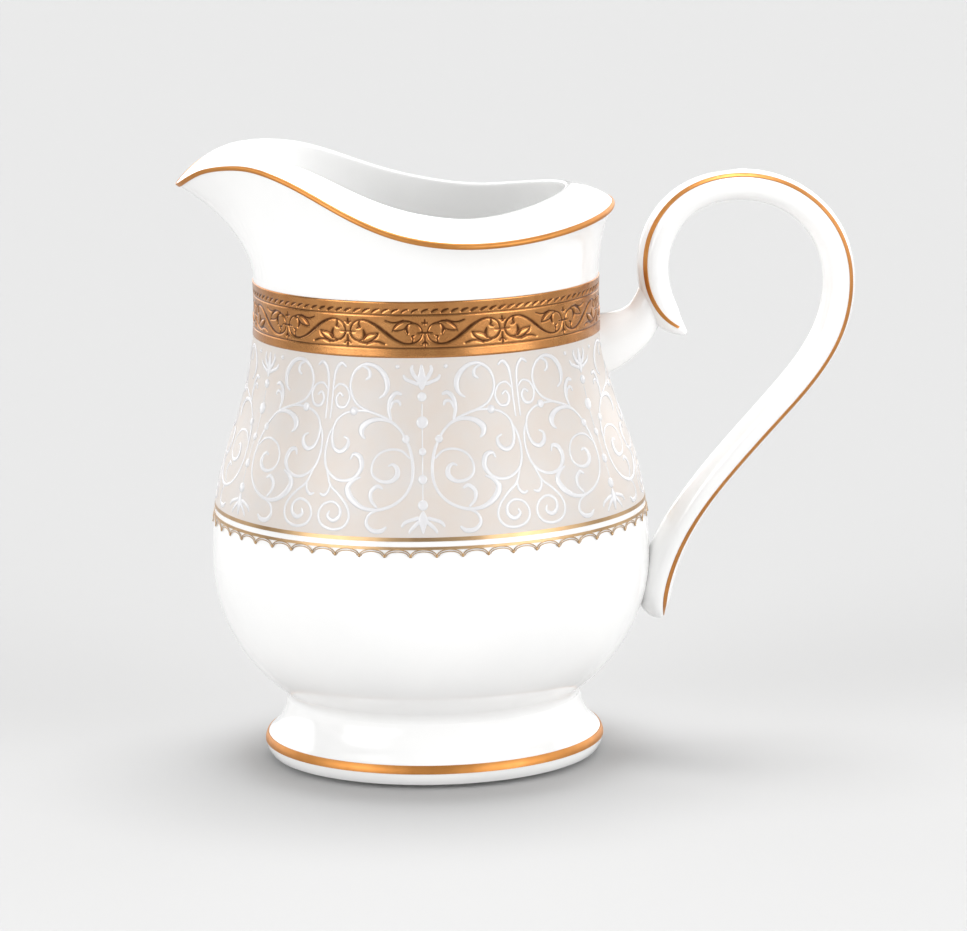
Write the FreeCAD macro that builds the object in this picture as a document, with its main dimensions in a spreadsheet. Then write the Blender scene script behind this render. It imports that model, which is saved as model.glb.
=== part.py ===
"""Porcelain cream jug on a luted pedestal foot, with a scrolled strap handle and fired-on gold.

Millimetres, +Z up. The origin is the centre of the foot on the table, +X points to the handle
and the spout points to -X. The jug is a mirror image of itself across the plane Y = 0.
"""
import FreeCAD, Part
import copy
import math
import os

from FreeCAD import Vector
from Sketcher import Constraint

DIMENSIONS = {
    # foot ring
    "foot_bulge_radius": 31.9,
    "foot_bulge_height": 3.1,
    "foot_bulge_arc": 2.55,
    "foot_skirt_arc": 3.4,
    "foot_skirt_height": 0.9,
    "foot_sole_radius": 28.4,
    "foot_inner_radius": 26.2,
    "foot_throat_radius": 24.3,
    # vase, turned: waist, belly, neck
    "waist_radius": 27.8,
    "waist_height": 11.5,
    "waist_arc": 2.5,
    "belly_radius": 41.2,
    "belly_height": 38.0,
    "belly_upper_arc": 70.0,
    "neck_radius": 32.1,
    "neck_height": 87.0,
    "collar_height": 92.0,
    "wall": 2.8,
    "floor_height": 14.6,
    "floor_arc": 8.0,
    # fired-on layers
    "layer": 0.15,
    "etched_band_bottom": 80.75,
    "etched_band_top": 91.0,
    "etched_band_layer": 0.22,
    "ivory_bottom": 49.2,
    "ivory_layer": 0.12,
    "upper_line_bottom": 48.5,
    "upper_line_top": 49.2,
    "lower_line_bottom": 47.0,
    "lower_line_top": 47.5,
    "lace_bottom": 45.7,
    "lace_arch_top": 46.6,
    "lace_count": 54.0,
    "foot_line_bottom": 3.1,
    "foot_line_top": 4.6,
    # gold lines of the handle, degrees of its oval section
    "handle_line_spread": 15.0,
}

# Rim stations round one half of the jug: angle from the handle, then radius and height of the
# gilded outer edge, then radius and height of the crest of the lip, where the mouth begins.
RIM_STATIONS = [
    (0, 35.3, 104.4, 26.2, 107.6),
    (25, 35.8, 103.6, 26.2, 107.0),
    (50, 36.2, 102.0, 26.2, 105.6),
    (70, 36.0, 101.2, 26.2, 104.9),
    (85, 35.9, 101.7, 26.2, 105.5),
    (100, 35.4, 103.7, 26.2, 107.0),
    (115, 34.8, 107.3, 26.4, 109.3),
    (130, 34.6, 111.1, 27.2, 112.0),
    (142, 35.8, 113.4, 29.2, 114.0),
    (150, 37.4, 114.2, 32.6, 115.0),
    (158, 39.9, 113.9, 37.6, 115.0),
    (166, 43.0, 112.4, 41.7, 113.3),
    (173, 45.2, 110.1, 44.2, 110.9),
    (180, 45.9, 109.2, 44.9, 109.9),
]

# Handle strap from the curled tip over the loop to the lower tip: x and z of the middle of the
# strap, half its thickness in the loop's plane, half its width across, and how far round its
# oval section, in degrees from the flank towards the outside of the loop, its gold lines lie.
STRAP_STATIONS = [
    (48.4, 79.3, 0.5, 1.3, -20),
    (46.8, 80.4, 1.6, 2.7, -15),
    (45.0, 82.1, 2.8, 3.8, 3),
    (43.3, 85.6, 2.9, 4.2, 22),
    (42.2, 90.3, 3.0, 4.4, 28),
    (42.5, 95.6, 3.1, 4.4, 33),
    (44.6, 100.4, 3.1, 4.4, 38),
    (48.3, 104.5, 3.0, 4.4, 42),
    (53.6, 106.8, 2.9, 4.4, 46),
    (59.8, 107.4, 2.9, 4.4, 48),
    (66.1, 106.1, 2.9, 4.4, 48),
    (71.6, 102.7, 3.0, 4.4, 47),
    (75.5, 97.7, 3.1, 4.4, 45),
    (77.3, 91.6, 3.1, 4.4, 45),
    (77.1, 85.2, 3.1, 4.4, 44),
    (75.3, 78.8, 3.1, 4.3, 43),
    (71.8, 73.0, 3.0, 4.2, 42),
    (67.9, 68.3, 3.0, 4.2, 42),
    (63.9, 63.9, 2.9, 4.2, 42),
    (59.8, 59.4, 2.9, 4.2, 42),
    (55.8, 54.9, 2.9, 4.2, 42),
    (52.0, 50.3, 2.9, 4.2, 41),
    (48.5, 45.5, 3.0, 4.3, 39),
    (45.4, 40.3, 3.2, 4.6, 38),
    (43.2, 35.2, 3.3, 5.0, 38),
    (42.0, 30.4, 3.3, 5.2, 37),
    (42.0, 27.6, 3.0, 4.9, 38),
    (42.7, 26.1, 1.9, 3.6, 40),
    (43.5, 25.3, 0.5, 1.6, 40),
]

# Stem that carries the loop's upper end off the neck: the middle's x and z and the half sizes.
STEM_STATIONS = [
    (27.5, 76.0, 6.4, 6.0),
    (32.4, 77.4, 5.9, 5.6),
    (36.0, 78.9, 5.0, 4.7),
    (39.3, 80.9, 4.1, 3.8),
    (41.5, 83.9, 3.2, 3.2),
    (42.3, 88.2, 2.4, 2.8),
    (42.4, 91.5, 1.6, 2.4),
]

# Sketcher's numbers for the ends of a piece of geometry, and for the sketch's own axes.
START = 1
END = 2
CENTRE = 3
AXES = -1
ORIGIN = 1
X_AXIS = -1

MERIDIANS = 72
SECTION_POINTS = 24

# Rows of the neck's control net between which the gilding covers the edge of the lip.
RIM_LINE_ROWS = (2.5, 3.4)

# Share of each arch's pitch that is open at its foot.
LACE_ARCH_SHARE = 0.82
JOIN_TOLERANCE = 0.001


# ---------------------------------------------------------------- document and sheet

def make_sheet(doc):
    """Spreadsheet of driving dimensions, one alias to a row."""
    sheet = doc.addObject("Spreadsheet::Sheet", "Dimensions")
    for row, (alias, value) in enumerate(DIMENSIONS.items(), start=1):
        sheet.set(f"A{row}", alias.replace("_", " "))
        sheet.set(f"B{row}", str(value))
        sheet.setAlias(f"B{row}", alias)
    doc.recompute()
    return sheet


def origin_plane(body, role):
    """The body's own origin plane that has this role."""
    return next(item for item in body.Origin.OriginFeatures if item.Role == role)


def new_body(doc, label):
    body = doc.addObject("PartDesign::Body", label)
    body.Label = label
    return body


def half_section(body):
    """Empty sketch on the body's XZ plane: sketch x is the radius, sketch y the height."""
    sketch = body.newObject("Sketcher::SketchObject", body.Label + "_section")
    sketch.AttachmentSupport = (origin_plane(body, "XZ_Plane"), [""])
    sketch.MapMode = "FlatFace"
    return sketch


def revolve_section(body, sketch):
    """Full turn of the sketch about its own vertical axis."""
    turned = body.newObject("PartDesign::Revolution", body.Label + "_turned")
    turned.Profile = sketch
    turned.ReferenceAxis = (sketch, ["V_Axis"])
    turned.Angle = 360.0
    body.Tip = turned
    return turned


def bind(sketch, name, constraint, formula):
    """Adds a driving constraint under a name and ties it to the sheet."""
    index = sketch.addConstraint(constraint)
    sketch.renameConstraint(index, name)
    sketch.setExpression(f"Constraints.{name}", formula)


def bind_r(sketch, cell, item, end, value):
    """Holds a point's radius to a cell of the sheet."""
    bind(sketch, cell, Constraint("DistanceX", AXES, ORIGIN, item, end, value), f"Dimensions.{cell}")


def bind_z(sketch, cell, item, end, value):
    """Holds a point's height to a cell of the sheet."""
    bind(sketch, cell, Constraint("DistanceY", AXES, ORIGIN, item, end, value), f"Dimensions.{cell}")


def feature(doc, label, shape):
    """Plain feature that holds a shape made by functions."""
    piece = doc.addObject("Part::Feature", label)
    piece.Label = label
    piece.Shape = shape
    piece.Placement = FreeCAD.Placement()
    return piece


# ---------------------------------------------------------------- turned profile

class TurnedArc:
    """One arc of a turned outline, upright where it touches a given radius at a given height.

    side is +1 where the arc bulges outward and -1 where it is hollow. touch names the pair of
    sheet cells of that radius and height, and formula is the arc's radius in terms of the sheet.
    """

    def __init__(self, touch, touch_r, touch_z, radius, side, formula):
        self.touch = touch
        self.formula = formula
        self.centre_r = touch_r - side * radius
        self.centre_z = touch_z
        self.radius = radius
        self.side = side
        self.low = touch_z
        self.high = touch_z

    def between(self, low, high):
        """The same arc with other ends."""
        arc = copy.copy(self)
        arc.low = low
        arc.high = high
        return arc

    def raised(self, amount):
        """The same arc moved outward, its ends square to the surface."""
        arc = copy.copy(self)
        arc.radius = self.radius + self.side * amount
        arc.low, arc.high = [self.centre_z + (end - self.centre_z) * arc.radius / self.radius
                             for end in (self.low, self.high)]
        return arc

    def radius_at(self, height):
        squared = max(0.0, self.radius ** 2 - (height - self.centre_z) ** 2)
        return self.centre_r + self.side * math.sqrt(squared)

    def point(self, height):
        return Vector(self.radius_at(height), 0, height)

    def edge(self):
        middle = self.point((self.low + self.high) / 2)
        return Part.Arc(self.point(self.low), middle, self.point(self.high)).toShape()


def tangent_partner(size, first, second, known):
    """Arc that runs smoothly on from a known one, bent the other way.

    first and second are the cell names before _radius and _height of the two upright tangents,
    and known is the cell of the known arc's radius. Returns the partner's radius, its formula
    in terms of the sheet, and the sine of the lean where the two arcs meet.
    """
    drop_r = getattr(size, first + "_radius") - getattr(size, second + "_radius")
    drop_z = abs(getattr(size, first + "_height") - getattr(size, second + "_height"))
    both = (drop_r ** 2 + drop_z ** 2) / (2 * drop_r)
    step_r = f"(Dimensions.{first}_radius - Dimensions.{second}_radius)"
    step_z = f"(Dimensions.{first}_height - Dimensions.{second}_height)"
    formula = f"(({step_r} ^ 2 + {step_z} ^ 2) / (2 * {step_r}) - Dimensions.{known})"
    return both - getattr(size, known), formula, drop_z / both


def vase_arcs(size):
    """Outline of the vase from the waist to the collar: waist, lower belly, upper belly, neck."""
    belly = ("belly", size.belly_radius, size.belly_height)
    lower_arc, lower_formula, lean = tangent_partner(size, "belly", "waist", "waist_arc")
    neck_arc, neck_formula, slope = tangent_partner(size, "belly", "neck", "belly_upper_arc")
    waist_top = size.waist_height + size.waist_arc * lean
    shoulder = size.belly_height + size.belly_upper_arc * slope
    waist = TurnedArc("waist", size.waist_radius, size.waist_height, size.waist_arc, -1,
                      "Dimensions.waist_arc")
    lower_belly = TurnedArc(*belly, lower_arc, 1, lower_formula)
    upper_belly = TurnedArc(*belly, size.belly_upper_arc, 1, "Dimensions.belly_upper_arc")
    neck = TurnedArc("neck", size.neck_radius, size.neck_height, neck_arc, -1, neck_formula)
    return (
        waist.between(size.waist_height, waist_top),
        lower_belly.between(waist_top, size.belly_height),
        upper_belly.between(size.belly_height, shoulder),
        neck.between(shoulder, size.collar_height),
    )


def turn(wire):
    """Surface swept by a wire in the XZ plane through a full turn about Z."""
    return wire.revolve(Vector(0, 0, 0), Vector(0, 0, 1), 360)


# ---------------------------------------------------------------- free-form surfaces

def closed_row(points):
    """Closed cubic curve through evenly numbered points."""
    curve = Part.BSplineCurve()
    curve.interpolate(Points=points, Parameters=list(range(len(points) + 1)), PeriodicFlag=True)
    return curve


def surface_over(curves):
    """Smooth surface whose control rows are closed curves, open from the first to the last."""
    poles = [list(column) for column in zip(*[curve.getPoles() for curve in curves])]
    spans = len(curves) - 3
    surface = Part.BSplineSurface()
    surface.buildFromPolesMultsKnots(
        poles, curves[0].getMultiplicities(), [4] + [1] * (spans - 1) + [4],
        curves[0].getKnots(), list(range(spans + 1)), True, False, 3, 3)
    return surface


def ringed_surface(rings):
    """Smooth surface whose control rows run through rings of points."""
    return surface_over([closed_row(points) for points in rings])


def end_cap(surface, last):
    """Flat face that closes the first or the last row of a ringed surface."""
    value = surface.bounds()[3] if last else surface.bounds()[2]
    return Part.Face(Part.Wire(surface.vIso(value).toShape()))


def solid_of(faces):
    """Closed solid from faces whose borders meet."""
    joined, _ = faces[0].generalFuse(faces[1:], JOIN_TOLERANCE)
    shell = Part.Shell(joined.Faces)
    shell.sewShape(JOIN_TOLERANCE)
    solid = Part.makeSolid(shell)
    if solid.Volume < 0:
        solid.reverse()
    return solid


def tube_solid(rings):
    """Closed solid over rings of points, with a flat face at each end."""
    surface = ringed_surface(rings)
    return solid_of([surface.toShape(), end_cap(surface, False), end_cap(surface, True)])


# ---------------------------------------------------------------- jug body

def station_curve(column):
    """Curve of radius and height against angle through the rim stations, level at both ends."""
    points = [Vector(row[0], row[column], row[column + 1]) for row in RIM_STATIONS]
    level = Vector(1, 0, 0)
    curve = Part.BSplineCurve()
    curve.interpolate(Points=points, Parameters=[row[0] for row in RIM_STATIONS],
                      InitialTangent=level, FinalTangent=level)
    return curve


def neck_controls(edge, crest, outside, inside, lift):
    """Control points of one meridian of the spouted neck, as radius and height.

    They climb the outside from the collar to the gilded edge, cross the lip to its crest and
    drop down the inside of the mouth to the collar again.
    """
    def towards(start, end, share_r, share_z):
        return Vector(start.x + share_r * (end.x - start.x), start.y + share_z * (end.y - start.y), 0)

    outer_flare = towards(outside, edge, 0.30, 0.60)
    inner_flare = towards(inside, crest, 0.30, 0.60)
    below_edge = (edge - outer_flare).normalize() * -1.2
    below_crest = (inner_flare - crest).normalize() * 1.5
    lip = crest - edge
    swell = Vector(-lip.y, lip.x, 0)
    if swell.y < 0:
        swell = swell * -1
    swell = swell.normalize() * 0.05 * lip.Length
    return [
        outside,
        outside + lift,
        outer_flare,
        edge + below_edge,
        edge + Vector(0.45, -0.1, 0),
        towards(edge, crest, 0.16, 0.2) + swell,
        towards(edge, crest, 0.5, 0.5) + swell * 2,
        towards(edge, crest, 0.86, 0.9) + swell,
        crest + Vector(-0.3, 0.25, 0),
        crest + below_crest,
        inner_flare,
        inside + lift,
        inside,
    ]


def neck_surface(size):
    """Skin of the spouted neck, from the collar outside, over the lip, to the collar inside."""
    edge_curve = station_curve(1)
    crest_curve = station_curve(3)
    neck = vase_arcs(size)[3]
    lean = (size.collar_height - size.neck_height) / neck.radius
    lift = Vector(3 * lean, 3, 0)
    outside = Vector(neck.radius_at(size.collar_height), size.collar_height, 0)
    inside = Vector(neck.raised(-size.wall).radius_at(size.collar_height), size.collar_height, 0)
    columns = []
    for index in range(MERIDIANS):
        angle = 360.0 * index / MERIDIANS
        from_handle = min(angle, 360.0 - angle)
        edge = edge_curve.value(from_handle)
        crest = crest_curve.value(from_handle)
        controls = neck_controls(Vector(edge.y, edge.z, 0), Vector(crest.y, crest.z, 0),
                                 outside, inside, lift)
        turn_to = math.radians(angle)
        columns.append([Vector(c.x * math.cos(turn_to), c.x * math.sin(turn_to), c.y) for c in controls])
    return ringed_surface(list(zip(*columns)))


def inner_outline(size):
    """Outline of the hollow: flat floor, rounded corner, then the wall up to the collar."""
    lower_belly, upper_belly, neck = [arc.raised(-size.wall) for arc in vase_arcs(size)[1:]]
    reach = lower_belly.radius - size.floor_arc
    rise = size.belly_height - size.floor_height - size.floor_arc
    corner_centre_r = lower_belly.centre_r + math.sqrt(reach ** 2 - rise ** 2)
    corner = TurnedArc("floor", corner_centre_r + size.floor_arc, size.belly_height - rise,
                       size.floor_arc, 1, "Dimensions.floor_arc")
    corner = corner.between(size.floor_height, size.belly_height - rise * lower_belly.radius / reach)
    lower_belly = lower_belly.between(corner.high, size.belly_height)
    neck = neck.between(neck.low, size.collar_height)
    floor = Part.LineSegment(Vector(0, 0, size.floor_height), corner.point(corner.low)).toShape()
    return Part.Wire([floor] + [arc.edge() for arc in (corner, lower_belly, upper_belly, neck)])


def jug_body(doc, size):
    """Thin-walled vase with its spouted neck, one casting, flat underneath for the foot."""
    outline = vase_arcs(size)
    outside = Part.Wire([arc.edge() for arc in outline])
    sole = Part.LineSegment(Vector(0, 0, size.waist_height), outline[0].point(size.waist_height)).toShape()
    faces = turn(outside).Faces + turn(inner_outline(size)).Faces + turn(Part.Wire([sole])).Faces
    faces.append(neck_surface(size).toShape())
    return feature(doc, "jug_body", solid_of(faces))


def vase_envelope(size):
    """Solid block inside the vase's outside, up to the collar; it shapes what sits on the vase."""
    outline = vase_arcs(size)
    low = Vector(0, 0, size.waist_height)
    high = Vector(0, 0, size.collar_height)
    closing = [
        Part.LineSegment(low, outline[0].point(size.waist_height)).toShape(),
        Part.LineSegment(outline[-1].point(size.collar_height), high).toShape(),
        Part.LineSegment(high, low).toShape(),
    ]
    edges = [closing[0]] + [arc.edge() for arc in outline] + closing[1:]
    return turn(Part.Face(Part.Wire(edges)))


# ---------------------------------------------------------------- foot

def arc_of(centre, radius, start, end):
    return Part.ArcOfCircle(Part.Circle(centre, Vector(0, 0, 1), radius), start, end)


def foot(doc, size):
    """Open pedestal ring, luted under the flat bottom of the vase."""
    body = new_body(doc, "foot")
    sketch = half_section(body)
    throat = Vector(size.foot_throat_radius, size.waist_height, 0)
    shoulder = Vector(size.waist_radius, size.waist_height, 0)
    inner = Vector(size.foot_inner_radius, 0, 0)
    sole = Vector(size.foot_sole_radius, 0, 0)
    cove, _, lean = tangent_partner(size, "foot_bulge", "waist", "foot_bulge_arc")
    lean_angle = math.asin(lean)
    cove_centre = shoulder + Vector(cove, 0, 0)
    widest = Vector(size.foot_bulge_radius, size.foot_bulge_height, 0)
    bulge_centre = widest - Vector(size.foot_bulge_arc, 0, 0)
    skirt_centre = widest - Vector(size.foot_skirt_arc, 0, 0)
    dip = math.asin((size.foot_bulge_height - size.foot_skirt_height) / size.foot_skirt_arc)
    skirt_end = skirt_centre + Vector(math.cos(dip), -math.sin(dip), 0) * size.foot_skirt_arc
    top = sketch.addGeometry(Part.LineSegment(throat, shoulder))
    hollow = sketch.addGeometry(arc_of(cove_centre, cove, math.pi, math.pi + lean_angle))
    bulge = sketch.addGeometry(arc_of(bulge_centre, size.foot_bulge_arc, 0, lean_angle))
    skirt = sketch.addGeometry(arc_of(skirt_centre, size.foot_skirt_arc, -dip, 0))
    chamfer = sketch.addGeometry(Part.LineSegment(skirt_end, sole))
    rest = sketch.addGeometry(Part.LineSegment(sole, inner))
    inside = sketch.addGeometry(Part.LineSegment(inner, throat))
    sketch.addConstraint([
        Constraint("Coincident", top, END, hollow, START),
        Constraint("Tangent", hollow, END, bulge, END),
        Constraint("Coincident", bulge, START, skirt, END),
        Constraint("Coincident", skirt, START, chamfer, START),
        Constraint("Coincident", chamfer, END, rest, START),
        Constraint("Coincident", rest, END, inside, START),
        Constraint("Coincident", inside, END, top, START),
        Constraint("Horizontal", top),
        Constraint("PointOnObject", rest, START, X_AXIS),
        Constraint("PointOnObject", rest, END, X_AXIS),
        Constraint("Horizontal", hollow, CENTRE, hollow, START),
        Constraint("Horizontal", bulge, CENTRE, bulge, START),
        Constraint("Horizontal", skirt, CENTRE, skirt, END),
    ])
    bind_r(sketch, "waist_radius", top, END, size.waist_radius)
    bind_z(sketch, "waist_height", top, END, size.waist_height)
    bind_r(sketch, "foot_throat_radius", top, START, size.foot_throat_radius)
    bind_r(sketch, "foot_inner_radius", rest, END, size.foot_inner_radius)
    bind_r(sketch, "foot_sole_radius", rest, START, size.foot_sole_radius)
    bind_r(sketch, "foot_bulge_radius", skirt, END, size.foot_bulge_radius)
    bind_z(sketch, "foot_bulge_height", skirt, END, size.foot_bulge_height)
    bind_z(sketch, "foot_skirt_height", skirt, START, size.foot_skirt_height)
    bind(sketch, "bulge_arc", Constraint("Radius", bulge, size.foot_bulge_arc), "Dimensions.foot_bulge_arc")
    bind(sketch, "skirt_arc", Constraint("Radius", skirt, size.foot_skirt_arc), "Dimensions.foot_skirt_arc")
    revolve_section(body, sketch)
    return body


# ---------------------------------------------------------------- fired-on rings

def sketch_arc(sketch, arc, low, high):
    """Adds a turned arc between two heights; returns it with its lower and upper end numbers."""
    angles = [math.atan2(z - arc.centre_z, arc.radius_at(z) - arc.centre_r) for z in (low, high)]
    if arc.side < 0:
        angles = [angle % (2 * math.pi) for angle in angles]
    centre = Vector(arc.centre_r, arc.centre_z, 0)
    index = sketch.addGeometry(arc_of(centre, arc.radius, min(angles), max(angles)))
    lower_end, upper_end = (START, END) if arc.side > 0 else (END, START)
    return index, lower_end, upper_end


def bind_arc_centre(sketch, name, index, arc):
    """Ties an arc's centre to the sheet, through the upright tangent that it is named by."""
    sign = "-" if arc.side > 0 else "+"
    bind(sketch, name + "_centre_r", Constraint("DistanceX", AXES, ORIGIN, index, CENTRE, arc.centre_r),
         f"Dimensions.{arc.touch}_radius {sign} {arc.formula}")
    bind(sketch, name + "_centre_z", Constraint("DistanceY", AXES, ORIGIN, index, CENTRE, arc.centre_z),
         f"Dimensions.{arc.touch}_height")


def ring_on(doc, label, arcs, low, high, layer):
    """Thin ring that lies on the turned arcs given, upward, between two heights.

    low, high and layer are names of cells of the sheet.
    """
    size = doc.Dimensions
    bottom, top, thickness = getattr(size, low), getattr(size, high), getattr(size, layer)
    body = new_body(doc, label)
    sketch = half_section(body)
    sides = []
    for side, lift in (("inner", 0.0), ("outer", thickness)):
        lifted = [arc.raised(lift) for arc in arcs]
        joints = [arc.high for arc in lifted[:-1]]
        sides.append([sketch_arc(sketch, arc, start, end)
                      for arc, start, end in zip(lifted, [bottom] + joints, joints + [top])])
    inner, outer = sides
    for number, arc in enumerate(arcs):
        bind_arc_centre(sketch, f"arc{number}", inner[number][0], arc)
        sketch.addConstraint(Constraint("Coincident", inner[number][0], CENTRE, outer[number][0], CENTRE))
    sign = "+" if arcs[0].side > 0 else "-"
    bind(sketch, "inner_arc", Constraint("Radius", inner[0][0], arcs[0].radius), arcs[0].formula)
    bind(sketch, "outer_arc", Constraint("Radius", outer[0][0], arcs[0].raised(thickness).radius),
         f"{arcs[0].formula} {sign} Dimensions.{layer}")
    for chain in sides:
        for (below, _, upper_end), (above, lower_end, _) in zip(chain, chain[1:]):
            sketch.addConstraint(Constraint("Tangent", below, upper_end, above, lower_end))
    closings = []
    for name, height, place, end in ((low, bottom, 0, 1), (high, top, -1, 2)):
        points = [Vector(arc.radius_at(height), height, 0)
                  for arc in (arcs[place], arcs[place].raised(thickness))]
        line = sketch.addGeometry(Part.LineSegment(*points))
        closings.append(line)
        sketch.addConstraint([
            Constraint("Coincident", inner[place][0], inner[place][end], line, START),
            Constraint("Coincident", outer[place][0], outer[place][end], line, END),
            Constraint("Horizontal", line),
        ])
        bind_z(sketch, name, line, START, height)
    revolve_section(body, sketch)
    return body


def foot_arcs(size):
    """The foot's bulge above its widest point, where its gold line lies."""
    bulge = TurnedArc("foot_bulge", size.foot_bulge_radius, size.foot_bulge_height,
                      size.foot_bulge_arc, 1, "Dimensions.foot_bulge_arc")
    return [bulge.between(size.foot_bulge_height, size.foot_bulge_height + size.foot_bulge_arc)]


def arch_opening(size):
    """Prism with an arched top, one opening of the lace, reaching out along +X."""
    half_pitch = math.pi * size.belly_radius / size.lace_count
    half_span = half_pitch * LACE_ARCH_SHARE
    inside = size.belly_radius / 2
    sill = size.lace_bottom - 1
    top = Vector(inside, 0, size.lace_arch_top)
    left = Vector(inside, -half_span, size.lace_bottom)
    right = Vector(inside, half_span, size.lace_bottom)
    left_shoulder = Vector(inside, -half_span * 0.75, (size.lace_bottom + size.lace_arch_top) / 2)
    right_shoulder = Vector(inside, half_span * 0.75, left_shoulder.z)
    arch = Part.BSplineCurve()
    arch.interpolate(Points=[left, left_shoulder, top, right_shoulder, right])
    below_right = Vector(inside, half_span, sill)
    below_left = Vector(inside, -half_span, sill)
    edges = [arch.toShape()]
    for start, end in ((right, below_right), (below_right, below_left), (below_left, left)):
        edges.append(Part.LineSegment(start, end).toShape())
    return Part.Face(Part.Wire(edges)).extrude(Vector(size.belly_radius, 0, 0))


def lace_border(doc, size, arcs):
    """Thin ring of small arches under the lower line."""
    blank = ring_on(doc, "scallop_border", arcs, "lace_bottom", "lower_line_bottom", "layer")
    openings = []
    for number in range(int(size.lace_count)):
        opening = arch_opening(size)
        opening.rotate(Vector(0, 0, 0), Vector(0, 0, 1), 360.0 * number / size.lace_count)
        openings.append(opening)
    return cut_by(doc, blank, feature(doc, "arch_openings", Part.makeCompound(openings)))


# ---------------------------------------------------------------- handle

def strap_frames(stations):
    """Middle point, outward direction and half sizes of each station along a strap."""
    middles = [Vector(station[0], 0, station[1]) for station in stations]
    frames = []
    for index, station in enumerate(stations):
        ahead = middles[min(index + 1, len(middles) - 1)]
        behind = middles[max(index - 1, 0)]
        along = (ahead - behind).normalize()
        frames.append((middles[index], Vector(-along.z, 0, along.x), station[2], station[3]))
    return frames


def strap_sections(stations):
    """Oval rings of points round a strap, each square to its middle line."""
    angles = [2 * math.pi * number / SECTION_POINTS for number in range(SECTION_POINTS)]
    return [[middle + outward * (half_thick * math.sin(angle)) + Vector(0, half_wide * math.cos(angle), 0)
             for angle in angles]
            for middle, outward, half_thick, half_wide in strap_frames(stations)]


def handle(doc, size):
    """Strap with a curled upper tip, and the stem that carries it, cut to the vase's outside."""
    strap = tube_solid(strap_sections(STRAP_STATIONS))
    stem = tube_solid(strap_sections(STEM_STATIONS))
    trimmed = strap.fuse(stem).cut(vase_envelope(size))
    return feature(doc, "handle", max(trimmed.Solids, key=lambda solid: solid.Volume))


def handle_gold_line(doc, size, label, flank):
    """Thin stripe along one shoulder of the strap, from the curled tip to the lower tip.

    flank is -1 for the -Y side and +1 for the +Y side.
    """
    rings = []
    for station, frame in list(zip(STRAP_STATIONS, strap_frames(STRAP_STATIONS)))[1:]:
        middle, outward, half_thick, half_wide = frame
        first = station[4] - size.handle_line_spread / 2
        angles = [math.radians(first + size.handle_line_spread * step / 4) for step in range(5)]

        def on_strap(angle, lift):
            return (middle + outward * ((half_thick + lift) * math.sin(angle))
                    + Vector(0, flank * (half_wide + lift) * math.cos(angle), 0))

        rings.append([on_strap(angle, 0.0) for angle in angles]
                     + [on_strap(angle, size.layer) for angle in reversed(angles)])
    return feature(doc, label, tube_solid(rings))


def rim_gold_line(doc, size):
    """Gold over the outermost edge of the lip, all the way round."""
    surface = neck_surface(size)
    first, last = RIM_LINE_ROWS
    on_body = surface.copy()
    on_body.segment(0, MERIDIANS, first, last)
    curves = [surface.vIso(first)]
    for step in range(6):
        row = first + (last - first) * step / 5
        points = [surface.value(u, row) + surface.normal(u, row) * size.layer for u in range(MERIDIANS)]
        curves.append(closed_row(points))
    curves.append(surface.vIso(last))
    return feature(doc, "rim_gold_line", solid_of([on_body.toShape(), surface_over(curves).toShape()]))


def cut_by(doc, base, tool):
    """Layer without the part that another piece covers; the result takes over the layer's name."""
    label = base.Label
    base.Label = label + "_blank"
    result = doc.addObject("Part::Cut", label + "_cut")
    result.Base = base
    result.Tool = tool
    result.Label = label
    return result


def check(doc, pieces):
    """Stops if anything in the document failed or any piece is not a sound shape."""
    for item in doc.Objects:
        if "Invalid" in item.State or "Error" in item.State:
            raise RuntimeError(f"{item.Label} failed: {item.State}")
    for piece in pieces:
        if piece.Shape.isNull() or not piece.Shape.isValid():
            raise RuntimeError(f"{piece.Label} is not a sound shape")


def main():
    doc = FreeCAD.newDocument("cream_jug")
    size = make_sheet(doc)
    _, _, upper_belly, neck = vase_arcs(size)
    body = jug_body(doc, size)
    strap = handle(doc, size)
    band = ring_on(doc, "etched_gold_band", [neck],
                   "etched_band_bottom", "etched_band_top", "etched_band_layer")
    ivory = ring_on(doc, "ivory_ground", [upper_belly, neck],
                    "ivory_bottom", "etched_band_bottom", "ivory_layer")
    pieces = [
        body,
        foot(doc, size),
        strap,
        cut_by(doc, band, strap),
        cut_by(doc, ivory, strap),
        ring_on(doc, "upper_gold_line", [upper_belly], "upper_line_bottom", "upper_line_top", "layer"),
        ring_on(doc, "lower_gold_line", [upper_belly], "lower_line_bottom", "lower_line_top", "layer"),
        lace_border(doc, size, [upper_belly]),
        ring_on(doc, "foot_gold_line", foot_arcs(size), "foot_line_bottom", "foot_line_top", "layer"),
        rim_gold_line(doc, size),
        handle_gold_line(doc, size, "handle_gold_line_left", 1),
        handle_gold_line(doc, size, "handle_gold_line_right", -1),
    ]
    doc.recompute()
    check(doc, pieces)
    os.makedirs("parts", exist_ok=True)
    for piece in pieces:
        piece.Shape.exportStep(os.path.join("parts", piece.Label + ".step"))


main()
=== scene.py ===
"""Looks of a small porcelain cream jug: glazed white body, etched gold neck band, ivory enamel
ground with raised white scrolls, a gold lace border and thin gold lines.

The decoration is drawn in millimetres: arc lengths round the jug, heights above the table and
rises out of its skin. The scene itself is in metres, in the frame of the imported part, with +X
towards the handle and +Z up, and is seen from the -Y side.
"""

import math

import bpy
import numpy as np
from mathutils import Matrix, Vector
from mathutils.bvhtree import BVHTree


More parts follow.
